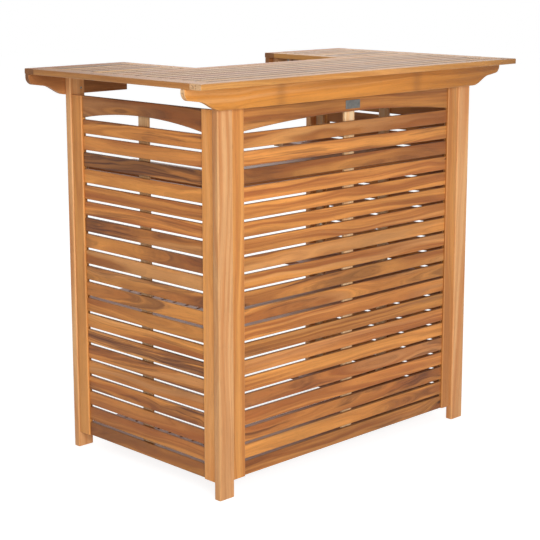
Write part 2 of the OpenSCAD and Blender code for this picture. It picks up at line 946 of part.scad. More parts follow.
front_left_post();
front_right_post();
back_left_post();
back_right_post();
front_apron();
left_bracket();
right_bracket();
front_left_stile();
front_right_stile();
front_arched_rail();
front_bottom_rail();
front_slats();
front_cleats();
left_front_stile();
left_back_stile();
left_arched_rail();
left_bottom_rail();
left_slats();
left_cleats();
right_front_stile();
right_back_stile();
right_arched_rail();
right_bottom_rail();
right_slats();
right_cleats();
top_front_rail();
top_middle_rail();
top_left_stile();
top_right_stile();
top_left_back_rail();
top_right_back_rail();
top_left_inner_stile();
top_right_inner_stile();
top_long_slats();
top_left_slats();
top_right_slats();
top_battens();
top_blocks();
shelf_frame(0);  // lower_shelf_frame
shelf_long_slats(0);  // lower_shelf_long_slats
shelf_left_slats(0);  // lower_shelf_left_slats
shelf_right_slats(0);  // lower_shelf_right_slats
shelf_frame(1);  // middle_shelf_frame
shelf_long_slats(1);  // middle_shelf_long_slats
shelf_left_slats(1);  // middle_shelf_left_slats
shelf_right_slats(1);  // middle_shelf_right_slats
shelf_frame(2);  // upper_shelf_frame
shelf_long_slats(2);  // upper_shelf_long_slats
shelf_left_slats(2);  // upper_shelf_left_slats
shelf_right_slats(2);  // upper_shelf_right_slats
name_plate();
plate_pins();
frame_dowels();
panel_dowels();
rail_dowels();
shelf_dowels();
cleat_screws();
post_screws();
top_screws();
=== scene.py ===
import math

import bpy
import numpy as np
from mathutils import Matrix, Vector


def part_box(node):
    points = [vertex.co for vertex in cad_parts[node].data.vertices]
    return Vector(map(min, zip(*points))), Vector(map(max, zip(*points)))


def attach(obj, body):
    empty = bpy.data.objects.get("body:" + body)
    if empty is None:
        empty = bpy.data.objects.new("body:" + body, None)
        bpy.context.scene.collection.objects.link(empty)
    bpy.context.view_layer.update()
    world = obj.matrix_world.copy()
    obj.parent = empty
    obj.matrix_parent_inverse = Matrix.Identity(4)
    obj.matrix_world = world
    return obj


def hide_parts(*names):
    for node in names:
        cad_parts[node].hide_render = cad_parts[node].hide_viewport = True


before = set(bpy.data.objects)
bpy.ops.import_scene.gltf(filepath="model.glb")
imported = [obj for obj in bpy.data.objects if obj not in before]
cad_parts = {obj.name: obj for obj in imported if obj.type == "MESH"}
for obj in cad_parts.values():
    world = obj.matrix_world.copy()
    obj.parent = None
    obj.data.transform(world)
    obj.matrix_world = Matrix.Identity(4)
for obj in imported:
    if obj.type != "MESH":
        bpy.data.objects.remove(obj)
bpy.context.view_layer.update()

# Posts
# The four legs are planed hardwood boards that stand on edge with all their corners rounded
# over, and are oiled. The panels are dowelled between them, and the top rests on their ends.
POST_EDGE = 0.004
POST_END_EASE = 0.0015
CORNER_STEPS = 6
EASE_STEPS = 3
BOARD_STATIONS = 9
# The length over which a stopped groove sinks to its depth
GROOVE_END = 0.0003
# Decimals of a metre up to which two places, or the heights of two solids, count as one
SAME_PLACE_DIGITS = 5
SAME_HEIGHT_DIGITS = 4


def solids_of(*names):
    """Lowest and highest corners of each separate solid in some nodes, from low to high.

    Corners at one place get one number. Every triangle hands its lowest number to its three
    corners, over and over, until nothing changes, and what shares a number is one solid.
    """
    found = []
    for name in names:
        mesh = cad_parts[name].data
        points = np.empty(len(mesh.vertices) * 3)
        mesh.vertices.foreach_get("co", points)
        points = points.reshape(-1, 3)
        corners = np.empty(len(mesh.loops), int)
        mesh.loops.foreach_get("vertex_index", corners)
        places, place_of = np.unique(np.round(points, SAME_PLACE_DIGITS), axis=0, return_inverse=True)
        triangles = place_of.reshape(-1)[corners].reshape(-1, 3)
        number = np.arange(len(places))
        while True:
            lowest = number.copy()
            shared = np.repeat(number[triangles].min(axis=1)[:, None], 3, axis=1)
            np.minimum.at(lowest, triangles, shared)
            lowest = lowest[lowest]
            if np.array_equal(lowest, number):
                break
            number = lowest
        for one in np.unique(number):
            part = places[number == one]
            found.append((part.min(axis=0), part.max(axis=0)))
    return sorted(found, key=lambda box: (round(box[0][2], SAME_HEIGHT_DIGITS),
                                          round(box[0][1], SAME_HEIGHT_DIGITS), box[0][0]))


def rounded_outline(width, height, radius, steps=CORNER_STEPS):
    """Points, outward normals and arris weight round a rectangle with quarter-circle corners.

    A point is the corner's centre plus the radius times (cos a, sin a), with a running a
    quarter turn at each corner, and the weight is sin 2a, which is 1 in the corner's middle.
    """
    quarter = np.linspace(0, math.pi / 2, steps + 1)
    turn = (quarter + np.arange(4)[:, None] * math.pi / 2).ravel()
    normal = np.stack([np.cos(turn), np.sin(turn)], axis=1)
    side = np.repeat([[1, 1], [-1, 1], [-1, -1], [1, -1]], steps + 1, axis=0)
    point = side * [width / 2 - radius, height / 2 - radius] + radius * normal
    return point, normal, np.tile(np.sin(2 * quarter), 4)


def stations(length, ease, inner):
    """Places along a board, how far each ring is drawn in, and its turn from end to side.

    Near an end the place is e(1 - cos b) and the ring is drawn in by e(1 - sin b), with b
    running from 0 on the end face to a quarter turn on the side.
    """
    b = np.linspace(0, math.pi / 2, EASE_STEPS + 1)
    flat = np.full(len(inner), math.pi / 2)
    place = np.concatenate([ease * (1 - np.cos(b)), inner, length - ease * (1 - np.cos(b[::-1]))])
    turn = np.concatenate([b, flat, b[::-1]])
    return place, ease * (1 - np.sin(turn)), turn


def ring_faces(rows, around):
    """Quads between neighbouring rings of points, and a cap over the first and the last ring."""
    i, j = np.meshgrid(np.arange(rows - 1), np.arange(around), indexing="ij")
    k = (j + 1) % around
    quads = np.stack([i * around + j, i * around + k, (i + 1) * around + k, (i + 1) * around + j], -1)
    first, last = list(range(around)), list(range((rows - 1) * around, rows * around))
    return quads.reshape(-1, 4).tolist() + [first[::-1], last]


def with_groove(outline, normal, arris, place, width, groove):
    """The rings' outlines with four points more in one narrow edge, for a stopped groove.

    Between its ends the points are the groove's two lips and, as far in as it is deep, the
    corners of its floor. On the rings beyond its ends they lie evenly spread on the edge.
    The groove is given as the edge's side, its own middle, half width and depth, and its ends.
    """
    toward, offset, half, depth, start, stop = groove
    inside = ((place > start) & (place < stop))[:, None]
    through = offset + toward * half * np.where(inside, [-1, -1, 1, 1], [-1, -1 / 3, 1 / 3, 1])
    across = toward * (width / 2 - depth * np.where(inside, [0, 1, 1, 0], 0))
    at = [len(normal) if toward > 0 else len(normal) // 2] * 4
    return (np.insert(outline, at, np.stack([across, through], -1), axis=1),
            np.insert(normal, at, [toward, 0], axis=0), np.insert(arris, at, 0), at[0])


def board_surface(lo, hi, axis, radius, ease, inner=None, cut=None, groove=None):
    """One board as a grid of rings, each a rounded rectangle across the board's length.

    The ring at a place s is the outline moved in by the ease, with its lower half lifted by
    cut(s) where the board's lower edge is sawn to a curve. The normal is that of the outline,
    turned towards the end by the ease and leaned against the slope of the cut.
    Returns points, normals, the board's own coordinates, its values at the points, its faces
    and which faces are flat inside a groove. The values are how much a point faces along the
    grain and sideways, and the arris weight.
    """
    size = hi - lo
    others = sorted((i for i in range(3) if i != axis), key=lambda i: -size[i])
    wide, thin = others
    length = size[axis]
    if inner is None:
        inner = np.linspace(0, length, BOARD_STATIONS)[1:-1]
    if groove:
        ends = np.array(groove[-2:])
        inner = np.sort(np.concatenate([inner, ends, ends + [GROOVE_END, -GROOVE_END]]))
    place, drawn_in, turn = stations(length, ease, inner)
    outline, normal, arris = rounded_outline(size[wide], size[thin], radius)
    outline = np.repeat(outline[None], len(place), axis=0)
    if groove:
        outline, normal, arris, first_lip = with_groove(outline, normal, arris, place, size[wide],
                                                        groove)
    lift = np.zeros_like(place) if cut is None else cut(place)
    slope = np.gradient(lift, place)
    lower = (outline[0, :, 0] < 0)[None, :]
    across = outline[..., 0] - drawn_in[:, None] * normal[None, :, 0] + lift[:, None] * lower
    through = outline[..., 1] - drawn_in[:, None] * normal[None, :, 1]
    along = np.repeat(place[:, None] - length / 2, len(normal), axis=1)
    own = np.stack([along, across, through], axis=-1)
    towards_end = np.cos(turn) * np.where(place < length / 2, -1, 1)
    lean = -normal[None, :, 0] * slope[:, None] * lower
    side = np.sin(turn)[:, None]
    face = np.stack([towards_end[:, None] + side * lean, side * normal[None, :, 0],
                     side * normal[None, :, 1]], axis=-1)
    face /= np.linalg.norm(face, axis=-1, keepdims=True)
    points = np.empty_like(own)
    normals = np.empty_like(own)
    middle = (lo + hi) / 2
    for i, world_axis in enumerate((axis, wide, thin)):
        points[..., world_axis] = own[..., i] + middle[world_axis]
        normals[..., world_axis] = face[..., i]
    rows, around = along.shape
    faces = ring_faces(rows, around)
    if (wide - axis) % 3 != 1:
        faces = [ring[::-1] for ring in faces]
    flat = np.zeros(len(faces), bool)
    if groove:
        column = np.arange((rows - 1) * around) % around
        flat[:len(column)] = (column >= first_lip) & (column < first_lip + 3)
    values = {"end_grain": np.abs(face[..., 0]) ** 2, "narrow": np.abs(face[..., 1]) ** 2,
              "arris": np.repeat(arris[None, :], rows, axis=0)}
    return (points.reshape(-1, 3), normals.reshape(-1, 3), own.reshape(-1, 3),
            {key: value.ravel() for key, value in values.items()}, faces, flat)


def mesh_of(name, points, normals, faces, attributes, flat=None):
    """A smooth mesh from whole arrays, with its own normals and named values at its points.

    A face's corners take the normals of its points, or the face's own normal if it is flat.
    """
    mesh = bpy.data.meshes.new(name)
    mesh.from_pydata(points.tolist(), [], faces)
    mesh.polygons.foreach_set("use_smooth", np.ones(len(mesh.polygons), bool))
    for key, values in attributes.items():
        kind, field = ("FLOAT_VECTOR", "vector") if values.ndim == 2 else ("FLOAT", "value")
        layer = mesh.attributes.new(key, kind, "POINT")
        layer.data.foreach_set(field, values.astype(np.float32).ravel())
    mesh.update()
    corners = np.empty(len(mesh.loops), int)
    mesh.loops.foreach_get("vertex_index", corners)
    at_corners = normals[corners]
    if flat is not None:
        face_of = np.repeat(np.arange(len(faces)), [len(face) for face in faces])
        own = np.empty(len(faces) * 3)
        mesh.polygons.foreach_get("normal", own)
        at_corners = np.where(flat[face_of][:, None], own.reshape(-1, 3)[face_of], at_corners)
    mesh.normals_split_custom_set(at_corners.tolist())
    return mesh


def dress(name, mesh, material, nodes):
    """Puts a mesh into the scene as the finished piece that stands for some CAD nodes."""
    piece = bpy.data.objects.new(name, mesh)
    bpy.context.scene.collection.objects.link(piece)
    mesh.materials.append(material)
    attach(piece, "root")
    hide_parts(*nodes)
    return piece


# Where the tree's middle lies from a board's: along it in metres, beside it in widths of the
# board, behind it in metres, and how much it slants across and through for each metre along
PITH_ALONG = 60.0
PITH_BESIDE = 0.9
PITH_BEHIND = (0.012, 0.055)
GRAIN_SLANT = [0.018, 0.010]
LIGHT_SPREAD = 0.5
STREAKY_MOST = 0.7


def boards(name, nodes, boxes, axis, radius, ease, material, slot, seed, shades=None, tone=0.0,
           **shape):
    """One piece of several boards, each sawn from its own place in its own log.

    The grain attribute is the board's own coordinates plus the place of the tree's middle,
    which lies beside or behind the board and slants a little along it. The shade attribute
    is how light, how red and how streaky the board is: drawn by lot, or taken from shades by
    the board's number, with the tone added to how light it is.
    """
    draw = np.random.default_rng(seed)
    arrays = {"points": [], "normals": [], "grain": [], "shade": [], "end_grain": [], "narrow": [],
              "arris": []}
    faces, flats = [], []
    first = 0
    for number, (lo, hi) in enumerate(boxes):
        points, normals, own, values, rings, flat = board_surface(lo, hi, axis, radius, ease, **shape)
        width = np.sort(hi - lo)[1]
        pith = np.array([draw.uniform(0, PITH_ALONG), draw.normal(0, PITH_BESIDE) * width,
                         draw.choice([-1, 1]) * draw.uniform(*PITH_BEHIND)])
        slant = draw.normal(0, GRAIN_SLANT)
        grain = own + pith
        grain[:, 1:] += own[:, :1] * slant
        shade = np.array([draw.normal(0, LIGHT_SPREAD), draw.uniform(0, 1),
                          STREAKY_MOST * draw.uniform(0, 1) ** 2])
        if shades and number in shades:
            shade = np.array(shades[number])
        shade[0] += tone
        arrays["points"].append(points)
        arrays["normals"].append(normals)
        arrays["grain"].append(grain)
        arrays["shade"].append(np.tile(shade, (len(points), 1)))
        for key, value in values.items():
            arrays[key].append(value)
        faces += [[first + v for v in ring] for ring in rings]
        flats.append(flat)
        first += len(points)
    joined = {key: np.concatenate(values) for key, values in arrays.items()}
    mesh = mesh_of(name, joined.pop("points"), joined.pop("normals"), faces, joined,
                   np.concatenate(flats))
    return dress(name, mesh, material, nodes)


class Wire:
    """A socket of a material's nodes, on which Python's operators add Math nodes."""

    def __init__(self, tree, socket=None):
        self.tree = tree
        self.socket = socket

    def node(self, kind, settings=None, inputs=None, out=0):
        """Adds a node: its settings are set first, then its sockets get values or links."""
        made = self.tree.nodes.new(kind)
        for key, value in (settings or {}).items():
            setattr(made, key, value)
        for key, value in (inputs or {}).items():
            if isinstance(value, Wire):
                self.tree.links.new(value.socket, made.inputs[key])
            else:
                made.inputs[key].default_value = value
        return Wire(self.tree, made.outputs[out] if len(made.outputs) else None)

    def maths(self, operation, *values):
        return self.node("ShaderNodeMath", {"operation": operation}, dict(enumerate(values)))

    def __add__(self, other):
        return self.maths("ADD", self, other)

    def __sub__(self, other):
        return self.maths("SUBTRACT", self, other)

    def __rsub__(self, other):
        return self.maths("SUBTRACT", other, self)

    def __mul__(self, other):
        return self.maths("MULTIPLY", self, other)

    def __truediv__(self, other):
        return self.maths("DIVIDE", self, other)

    def __pow__(self, other):
        return self.maths("POWER", self, other)

    __radd__ = __add__
    __rmul__ = __mul__

    def step(self, low, high):
        """0 below low, 1 above high and a smooth rise between, or the reverse if low > high."""
        return self.node("ShaderNodeMapRange", {"interpolation_type": "SMOOTHSTEP"},
                         {0: self, 1: low, 2: high, 3: 0.0, 4: 1.0})

    def stretched(self, factors):
        return self.node("ShaderNodeVectorMath", {"operation": "MULTIPLY"}, {0: self, 1: factors})

    def moved(self, other):
        return self.node("ShaderNodeVectorMath", {"operation": "ADD"}, {0: self, 1: other})

    def times(self, number):
        return self.node("ShaderNodeVectorMath", {"operation": "SCALE"}, {0: self, 3: number})

    def part(self, index):
        return self.node("ShaderNodeSeparateXYZ", inputs={0: self}, out=index)

    def mixed(self, other, share):
        """This colour with a share of another one."""
        return self.node("ShaderNodeMix", {"data_type": "RGBA", "clamp_factor": True},
                         {0: share, 6: self, 7: other}, out=2)

    def noise(self, detail=2.0, roughness=0.5, distortion=0.0, out=0):
        return self.node("ShaderNodeTexNoise", inputs={
            "Vector": self, "Scale": 1.0, "Detail": detail, "Roughness": roughness,
            "Distortion": distortion}, out=out)


def paint(red, green, blue):
    """A colour as the eye reads it, 0 to 255, turned into linear light by the sRGB curve."""
    return tuple((v / 255 / 12.92 if v < 11 else ((v / 255 + 0.055) / 1.055) ** 2.4)
                 for v in (red, green, blue)) + (1.0,)


# Colours of the planed and oiled wood, from sapwood to the dark heart
SAPWOOD = paint(234, 176, 112)
HONEY = paint(218, 148, 74)
AMBER = paint(156, 92, 42)
HEART = paint(96, 54, 30)
RED_HEART = paint(158, 84, 46)
END_GRAIN = paint(238, 198, 152)
SAW_MARK = paint(154, 104, 72)
# Darker end grain, for the back rails and the brackets
DARK_END_GRAIN = paint(120, 80, 54)
# Dark ring lines, also used as painted shade on the boards' edges inside the gaps
RING_LINE_AND_GAP_SHADE = paint(92, 52, 28)
KNOT = paint(76, 42, 24)

# How many features a noise has in a metre along the board and, twice, across it
RAGGED_COUNTS = (14.0, 60.0, 60.0)
WANDER_COUNTS = (2.0, 7.0, 7.0)
LINE_FADE_COUNTS = (0.9, 24.0, 24.0)
STREAK_COUNTS = (2.4, 210.0, 210.0)
FIBRE_COUNTS = (12.0, 900.0, 900.0)
PORE_COUNTS = (42.0, 1250.0, 1250.0)
CLOUD_COUNTS = (3.2, 22.0, 22.0)
SAW_COUNTS = (200.0, 170.0, 330.0)
# The same across the rings and along the board. The third number, times one of the board's three
# shade values, moves two boards' noises apart, and for sapwood it is the same on all
BAND_COUNTS = (70.0, 0.7, 9.0)
HEART_COUNTS = (75.0, 2.2, 9.0)
VEIN_COUNTS = (420.0, 3.0, 5.0)
SAP_COUNTS = (46.0, 0.6, 19.0)
RING_WIDTH = 0.0052
LINE_SHARPNESS = 4.0
WANDER_PUSH = (0.0, 0.055, 0.055)
# Knots lie in the cells of a flat pattern, a tenth of which have one. The rim is in knot sizes
# from its middle, and the rings swell round it by the bulge
KNOT_COUNTS = (2.6, 6.4, 0.0)
RAGGED_PUSH = (0.10, 0.10, 0.0)
KNOTLESS_SHARE = 0.90
KNOTLESS_FADE = 0.01
KNOT_RIM = (1.6, 0.4)
KNOT_SMALLEST = 0.008
KNOT_SPREAD = 0.020
BULGE_FALL = -70.0
BULGE_HEIGHT = 0.014
# Where in the range of a noise its mark begins and where it is full
BAND_RANGE = (0.36, 0.66)
VEIN_RANGE = (0.40, 0.64)
SAP_RANGE = (0.54, 0.70)
LINE_FADE_RANGE = (0.38, 0.62)
PORE_RANGE = (0.60, 0.72)
SAW_RANGE = (0.50, 0.62)
# The same for the heart's streaks: where they begin, how much sooner in a wood with much heart
# and on a streaky board, and over how long a stretch they rise
HEART_BEGIN = 0.66
HEART_SOONER = 0.20
STREAKY_SOONER = 0.20
HEART_RISE = 0.13
# How dark they are at least, and how much more on a streaky board and in a vein
HEART_LEAST = 0.20
STREAKY_MORE = 0.62
VEIN_LEAST = 0.72
VEIN_MORE = 0.56
# How far the colour goes towards that of sapwood, heart, knots, the darkening (painted shade and
# darker bands) and sawn ends
SAP_SHARE = 0.45
RED_SHARE = 0.30
KNOT_SHARE = 0.8
BULGE_SHARE = 0.30
DARKENING_SHARE = 0.28
END_SHARE = 0.75
SAW_SHARE = 0.7
LINE_SHARE = 0.20
END_LINE_SHARE = 0.30
# How much lighter or darker the colour gets, round the first of these
LEVEL = 1.02
LIGHT_DEPTH = 0.20
STREAK_DEPTH = 0.42
FIBRE_DEPTH = 0.24
CLOUD_DEPTH = 0.66
PORE_DEPTH = 0.20
# How much rougher the oiled surface gets, and how far each mark stands up or lies down
STREAK_ROUGH = 0.30
LATE_ROUGH = 0.05
END_ROUGH = 0.24
PORE_ROUGH = 0.10
ARRIS_ROUGH = -0.04
FIBRE_RELIEF = 0.5
PORE_RELIEF = -0.5
LATE_RELIEF = -0.25
CLOUD_RELIEF = 0.5
KNOT_RELIEF = -0.4
RELIEF_HEIGHT = 0.0005
RELIEF_STRENGTH = 0.6


def wood(name, base, bright, dark=HEART, roughness=0.46, heart_share=0.5, lines=1.0, clouds=1.0,
         arris_wear_and_highlight=0.10, painted_gap_shade=0.0, ends=END_GRAIN, own_axes=True, ior=1.4):
    """Oiled hardwood, solid all through: rings round the tree's middle that wander along it.

    The ring distance is the length of the grain's two cross coordinates, pushed about by a
    long noise and swollen round knots. Noise along that distance gives the broad streaks,
    its fraction by the ring's width the fine dark lines, and noise drawn out 30 to 90 times
    along the board the fine streaks, pores and fibres. Arrises are made paler, partly as rubbed wear
    and partly as a painted highlight, and narrow faces darker as painted shade in the gaps between
    boards, by their two shares, and end grain goes towards a colour of its own.
    """
    made = bpy.data.materials.new(name)
    made.use_nodes = True
    tree = made.node_tree
    tree.nodes.clear()
    start = Wire(tree)
    if own_axes:
        grain = start.node("ShaderNodeAttribute", {"attribute_name": "grain"}, out="Vector")
    else:
        grain = start.node("ShaderNodeTexCoord", out="Object")
    shade = start.node("ShaderNodeAttribute", {"attribute_name": "shade"}, out="Vector")
    end_grain = start.node("ShaderNodeAttribute", {"attribute_name": "end_grain"}, out="Fac")
    arris = start.node("ShaderNodeAttribute", {"attribute_name": "arris"}, out="Fac")
    narrow = start.node("ShaderNodeAttribute", {"attribute_name": "narrow"}, out="Fac")
    darkening = start.node("ShaderNodeAttribute", {"attribute_name": "darkening"}, out="Fac")
    light, red, streaky = (shade.part(i) for i in range(3))

    def along_rings(counts, draw):
        return start.node("ShaderNodeCombineXYZ", inputs={
            0: ring * counts[0], 1: along * counts[1], 2: draw * counts[2]})

    ragged = grain.stretched(RAGGED_COUNTS).noise(detail=2.0, out="Color")
    cell = grain.stretched(KNOT_COUNTS).moved(ragged.stretched(RAGGED_PUSH))
    knot_at = {"voronoi_dimensions": "2D", "feature": "F1"}
    cell_at = {"Vector": cell, "Scale": 1.0}
    away = start.node("ShaderNodeTexVoronoi", knot_at, cell_at, out="Distance")
    cell_draw = start.node("ShaderNodeTexVoronoi", knot_at, cell_at, out="Color")
    has_knot = cell_draw.part(0).step(KNOTLESS_SHARE, KNOTLESS_SHARE + KNOTLESS_FADE)
    knot_size = cell_draw.part(1) * KNOT_SPREAD + KNOT_SMALLEST
    bulge = has_knot * start.maths("EXPONENT", (away * away) * BULGE_FALL)
    knot = has_knot * (away / knot_size).step(*KNOT_RIM)

    wander = grain.stretched(WANDER_COUNTS).noise(detail=3.0, roughness=0.42, out="Color")
    bent = grain.moved(wander.moved((-0.5, -0.5, -0.5)).stretched(WANDER_PUSH))
    ring = start.maths("SQRT", bent.part(1) ** 2.0 + bent.part(2) ** 2.0) + bulge * BULGE_HEIGHT
    along = grain.part(0)

    band = along_rings(BAND_COUNTS, streaky).noise(detail=3.0, roughness=0.6).step(*BAND_RANGE)
    heart = along_rings(HEART_COUNTS, red).noise(detail=5.0, roughness=0.62)
    heart_low = HEART_BEGIN - HEART_SOONER * heart_share
    heart = (heart + (streaky - 0.5) * STREAKY_SOONER).step(heart_low, heart_low + HEART_RISE)
    veins = along_rings(VEIN_COUNTS, light).noise(detail=3.0, roughness=0.6).step(*VEIN_RANGE)
    sap = along_rings(SAP_COUNTS, 1.0).noise(detail=2.0).step(*SAP_RANGE)
    count = ring / RING_WIDTH
    late = (count - start.maths("FLOOR", count)) ** LINE_SHARPNESS
    late_fade = grain.stretched(LINE_FADE_COUNTS).noise(detail=1.0).step(*LINE_FADE_RANGE)

    streak = grain.stretched(STREAK_COUNTS).noise(detail=4.0, roughness=0.62)
    fibre = grain.stretched(FIBRE_COUNTS).noise(detail=2.0, roughness=0.6)
    pore = grain.stretched(PORE_COUNTS).noise(detail=1.0).step(*PORE_RANGE)
    cloud = grain.stretched(CLOUD_COUNTS).noise(detail=3.0)
    saw = grain.stretched(SAW_COUNTS).noise(detail=3.0, roughness=0.7).step(*SAW_RANGE)

    colour = start.node("ShaderNodeMix", {"data_type": "RGBA"}, {0: band, 6: base, 7: bright}, out=2)
    colour = colour.mixed(SAPWOOD, sap * SAP_SHARE)
    colour = colour.mixed(RED_HEART, red * RED_SHARE)
    heart_dark = heart * (HEART_LEAST + STREAKY_MORE * streaky) * (VEIN_LEAST + VEIN_MORE * veins)
    colour = colour.mixed(dark, heart_dark)
    line_share = LINE_SHARE * lines + END_LINE_SHARE * end_grain
    colour = colour.mixed(RING_LINE_AND_GAP_SHADE, late * late_fade * line_share)
    colour = colour.mixed(KNOT, knot * KNOT_SHARE + bulge * BULGE_SHARE)
    # The darkening attribute: painted shade towards the right ends of the front rail and apron, and
    # two darker bands on the apron
    colour = colour.mixed(dark, darkening * DARKENING_SHARE)
    colour = colour.mixed(ends, end_grain * END_SHARE)
    colour = colour.mixed(SAW_MARK, end_grain * saw * SAW_SHARE)
    # Arrises go towards sapwood: partly rubbed wear, partly a painted highlight along the rounded
    # edges
    colour = colour.mixed(SAPWOOD, arris * arris_wear_and_highlight)
    # Narrow faces, the boards' edges that face into the gaps, are darkened as painted shade in the
    # gaps
    colour = colour.mixed(RING_LINE_AND_GAP_SHADE, narrow * painted_gap_shade)
    level = LEVEL + LIGHT_DEPTH * light + (streak - 0.5) * STREAK_DEPTH * lines
    level = level + (fibre - 0.5) * FIBRE_DEPTH + (cloud - 0.5) * CLOUD_DEPTH * clouds
    colour = colour.times(level * (1.0 - pore * PORE_DEPTH))

    rough = roughness + (streak - 0.5) * STREAK_ROUGH + late * LATE_ROUGH + end_grain * END_ROUGH
    rough = rough + pore * PORE_ROUGH + arris * ARRIS_ROUGH
    relief = (streak + fibre) * FIBRE_RELIEF + pore * PORE_RELIEF + late * late_fade * LATE_RELIEF
    relief = relief + cloud * CLOUD_RELIEF + knot * KNOT_RELIEF
    normal = start.node("ShaderNodeBump", inputs={
        "Height": relief, "Strength": RELIEF_STRENGTH, "Distance": RELIEF_HEIGHT})
    shader = start.node("ShaderNodeBsdfPrincipled", inputs={
        "Base Color": colour, "Roughness": rough, "Normal": normal, "IOR": ior})
    start.node("ShaderNodeOutputMaterial", inputs={"Surface": shader})
    return made


post_wood = wood("post_wood", paint(222, 149, 88), paint(246, 188, 128), heart_share=0.1,
                 lines=0.35, clouds=0.6, arris_wear_and_highlight=0.5)
for post, seed in (("front_left_post", 3), ("front_right_post", 8),
                   ("back_left_post", 12), ("back_right_post", 15)):
    boards(post + "_board", [post], solids_of(post), 2, POST_EDGE, POST_END_EASE, post_wood,
           "post_wood", seed)

# Panel stiles
# Upright boards frame each panel at its two ends. They are planed and rounded over like the
# posts, grooved on their inner edge for the slats, and dowelled to the post beside them.
STILE_EDGE = 0.003
BOARD_END_EASE = 0.0008
GROOVE_DEPTH = 0.0093
GROOVE_HALF_WIDTH = 0.0028
# How light, how red and how streaky the boards are, matched to the photograph's
# How light they are is partly painted light and shade: the front right stile is darker where the light
# falls off, and the left front stile lighter for the light on that side
STILE_SHADES = {
    "front_left": (-0.5, 0.3, 0.1), "front_right": (-0.7, 0.5, 0.4), "left_front": (0.7, 0.2, 0.1),
    "left_back": (0.0, 0.2, 0.1), "right_front": (0.0, 0.3, 0.2), "right_back": (0.0, 0.3, 0.2),
}
frame_wood = wood("frame_wood", paint(204, 131, 64), paint(232, 162, 86), heart_share=0.2,
                  lines=0.6, clouds=0.7, arris_wear_and_highlight=0.4)
for side, seed in (("front", 21), ("left", 24), ("right", 27)):
    ends = ("left", "right") if side == "front" else ("front", "back")
    slats_lo, slats_hi = (np.array(corner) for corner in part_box(f"{side}_slats"))
    through = 1 if side == "front" else 0
    for end in ends:
        node = f"{side}_{end}_stile"
        boxes = solids_of(node)
        lo, hi = boxes[0]
        offset = (slats_lo + slats_hi - lo - hi)[through] / 2
        groove = (1 if end == ends[0] else -1, offset, GROOVE_HALF_WIDTH, GROOVE_DEPTH,
                  slats_lo[2] - lo[2], slats_hi[2] - lo[2])
        boards(node + "_board", [node], boxes, 2, STILE_EDGE, BOARD_END_EASE, frame_wood,
               "frame_wood", seed, shades={0: STILE_SHADES[f"{side}_{end}"]}, groove=groove)
        seed += 1

# Bottom rails and slats
# Thin boards lie between the stiles with open gaps. Their long edges are rounded over, and a
# tongue on each end of a slat sits hidden in the stile's groove.
SLAT_EDGE = 0.003
TONGUE = 0.009
END_GAP = 0.0007


def without_tongues(boxes, axis, hidden=TONGUE + END_GAP):
    """The same boxes, shorter at both ends along one axis by what the joint hides."""
    cut = np.zeros(3)
    cut[axis] = hidden
    return [(lo + cut, hi - cut) for lo, hi in boxes]


# The shades of the slats that stand out, by their number from the bottom, and the tone by which
# all slats of a panel are lighter
SLAT_SHADES = {
    "front": {18: (-0.8, 0.3, 0.2), 16: (-1.5, 0.6, 0.5), 11: (-0.5, 0.5, 0.3), 9: (-1.2, 0.6, 0.8),
              8: (-0.2, 0.4, 0.8), 5: (0.3, 0.9, 0.2), 4: (0.4, 0.3, 0.1), 1: (0.2, 0.5, 0.8),
              0: (0.0, 0.2, 0.5)},
    "left": {18: (0.2, 0.2, 0.9), 16: (-1.2, 0.6, 1.0), 12: (-0.7, 0.5, 0.95), 11: (0.4, 0.2, 0.8),
             8: (0.3, 0.3, 0.6), 5: (0.4, 0.2, 1.0), 2: (0.6, 0.1, 1.0)},
    "right": {14: (-0.4, 0.5, 0.9), 6: (0.1, 0.4, 0.8)},
}
# The panels' tones are partly painted light: the left panel's slats are made lighter for the light on
# that side
SLAT_TONES = {"front": 0.5, "left": 0.95, "right": 0.5}
BOTTOM_RAIL_SHADES = {0: (-0.9, 0.5, 0.5)}
slat_wood = wood("slat_wood", AMBER, HONEY, heart_share=0.7, lines=0.7, clouds=1.4,
                 painted_gap_shade=0.5, ior=1.36)
for side, axis, seed in (("front", 0, 40), ("left", 1, 50), ("right", 1, 60)):
    rail = f"{side}_bottom_rail"
    boards(rail + "_board", [rail], without_tongues(solids_of(rail), axis, END_GAP), axis, SLAT_EDGE,
           BOARD_END_EASE, slat_wood, "frame_wood", seed, shades=BOTTOM_RAIL_SHADES)
    slats = f"{side}_slats"
    boards(slats + "_boards", [slats], without_tongues(solids_of(slats), axis), axis, SLAT_EDGE,
           BOARD_END_EASE, slat_wood, "slat_wood", seed + 1, shades=SLAT_SHADES[side],
           tone=SLAT_TONES[side])

# Arched rails
# The head of each panel is a deeper board whose lower edge is sawn to a flat arc of a circle,
# highest at mid-span. It is dowelled between the stiles, in line with the slats.
ARCH_RISE = 0.021
ARCH_STATIONS = 49
ARCH_SHADES = {"front": (-1.2, 0.5, 0.4), "left": (-0.3, 0.4, 0.7),
               "right": (-0.3, 0.6, 0.4)}


def arch(length, rise):
    """Height of a circular arc over its chord: sqrt(R^2 - d^2) - (R - rise), where d is the
    distance from mid-span and R = (half^2 + rise^2) / (2 rise)."""
    half = length / 2
    radius = (half * half + rise * rise) / (2 * rise)
    return lambda s: np.sqrt(radius ** 2 - (s - half) ** 2) - (radius - rise)


for side, axis, seed in (("front", 0, 71), ("left", 1, 72), ("right", 1, 73)):
    rail = f"{side}_arched_rail"
    boxes = without_tongues(solids_of(rail), axis, END_GAP)
    span = (boxes[0][1] - boxes[0][0])[axis]
    boards(rail + "_board", [rail], boxes, axis, SLAT_EDGE, BOARD_END_EASE, slat_wood, "frame_wood",
           seed, shades={0: ARCH_SHADES[side]}, inner=np.linspace(0, span, ARCH_STATIONS)[1:-1],
           cut=arch(span, ARCH_RISE))

